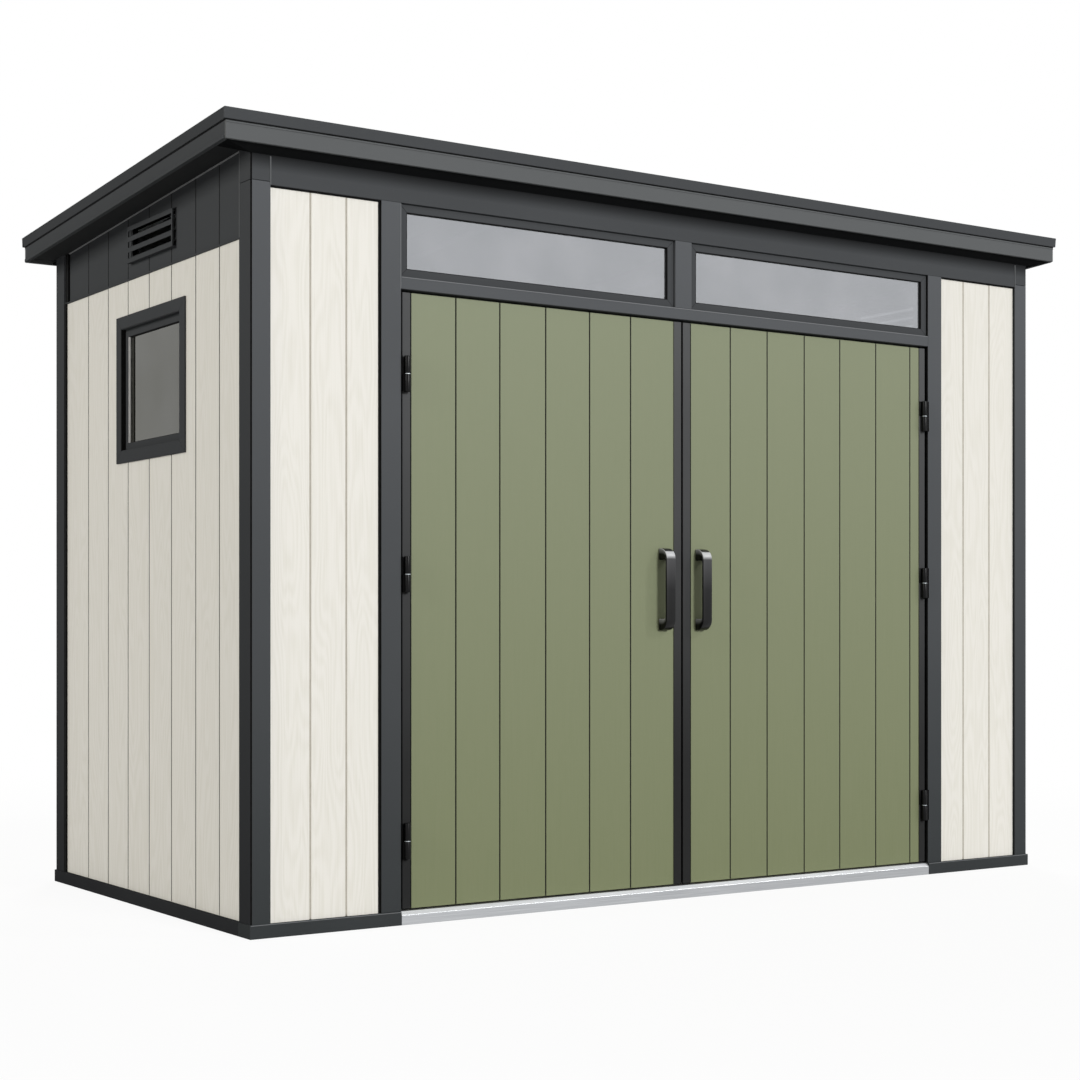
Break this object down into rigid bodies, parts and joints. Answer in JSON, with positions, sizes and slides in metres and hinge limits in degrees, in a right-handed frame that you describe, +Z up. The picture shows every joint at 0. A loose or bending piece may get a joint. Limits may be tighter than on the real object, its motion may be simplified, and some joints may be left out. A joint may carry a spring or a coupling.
{
  "type": "metal storage shed",
  "caption": "Pent-roofed metal garden shed with cream boarded walls, dark grey frame, sage green double doors, glazed transom lights, a side window and louvred gable vents.",
  "frame": {"origin": "on the ground under the middle of the plan, which is the middle of the bottom of the bounding box", "axes": "+X to the right of a person who faces the doors, +Y from the front to the back, +Z up"},
  "size_m": [3.336, 1.64, 2.3144],
  "materials": {
    "cream_cladding": "satin, embossed with a fine vertical grain",
    "anthracite_frame": "satin powder coat",
    "sage_boards": "satin, faint vertical streaks",
    "black_hardware": "satin black",
    "mill_aluminium": "brushed",
    "galvanised_steel": "dull galvanised",
    "window_glass": "clear with a grey reflective tint"
  },
  "bodies": {
    "shed": {"base_front": "anthracite_frame", "base_back": "anthracite_frame", "base_sides": "anthracite_frame", "threshold": "mill_aluminium", "front_left_post": "anthracite_frame", "front_right_post": "anthracite_frame", "back_left_post": "anthracite_frame", "back_right_post": "anthracite_frame", "left_door_post": "anthracite_frame", "right_door_post": "anthracite_frame", "front_header": "anthracite_frame", "header_corner_blocks": "anthracite_frame", "transom_rail": "anthracite_frame", "transom_mullion": "anthracite_frame", "left_transom_frame": "anthracite_frame", "right_transom_frame": "anthracite_frame", "transom_glass": "window_glass", "front_left_cladding": "cream_cladding", "front_right_cladding": "cream_cladding", "left_wall": "cream_cladding", "right_wall": "cream_cladding", "back_wall": "cream_cladding", "left_gable": "anthracite_frame", "right_gable": "anthracite_frame", "back_band": "anthracite_frame", "side_window_casing": "anthracite_frame", "side_window_sash": "anthracite_frame", "side_window_glass": "window_glass", "left_vent": "anthracite_frame", "right_vent": "anthracite_frame", "rafters": "galvanised_steel", "roof_deck": "anthracite_frame", "roof_seams": "anthracite_frame", "roof_cap_eaves": "anthracite_frame", "roof_cap_sides": "anthracite_frame", "eaves_fascias": "anthracite_frame", "side_fascias": "anthracite_frame", "front_soffit": "anthracite_frame", "back_soffit": "anthracite_frame", "side_soffits": "anthracite_frame", "fixed_hinges": "black_hardware"},
    "left_door": {"left_door_panel": "sage_boards", "left_door_stiles": "anthracite_frame", "left_door_handle": "black_hardware", "left_door_hinges": "black_hardware"},
    "right_door": {"right_door_panel": "sage_boards", "right_door_stiles": "anthracite_frame", "right_door_handle": "black_hardware", "right_door_hinges": "black_hardware"}
  },
  "joints": [
    {"name": "left_door_swing", "type": "hinge", "parent": "shed", "child": "left_door", "pos_m": [-1.061, -0.7725, 0.953], "axis": [0, 0, -1], "range_deg": [0, 170]},
    {"name": "right_door_swing", "type": "hinge", "parent": "shed", "child": "right_door", "pos_m": [1.043, -0.7725, 0.953], "axis": [0, 0, 1], "range_deg": [0, 170]}
  ]
}
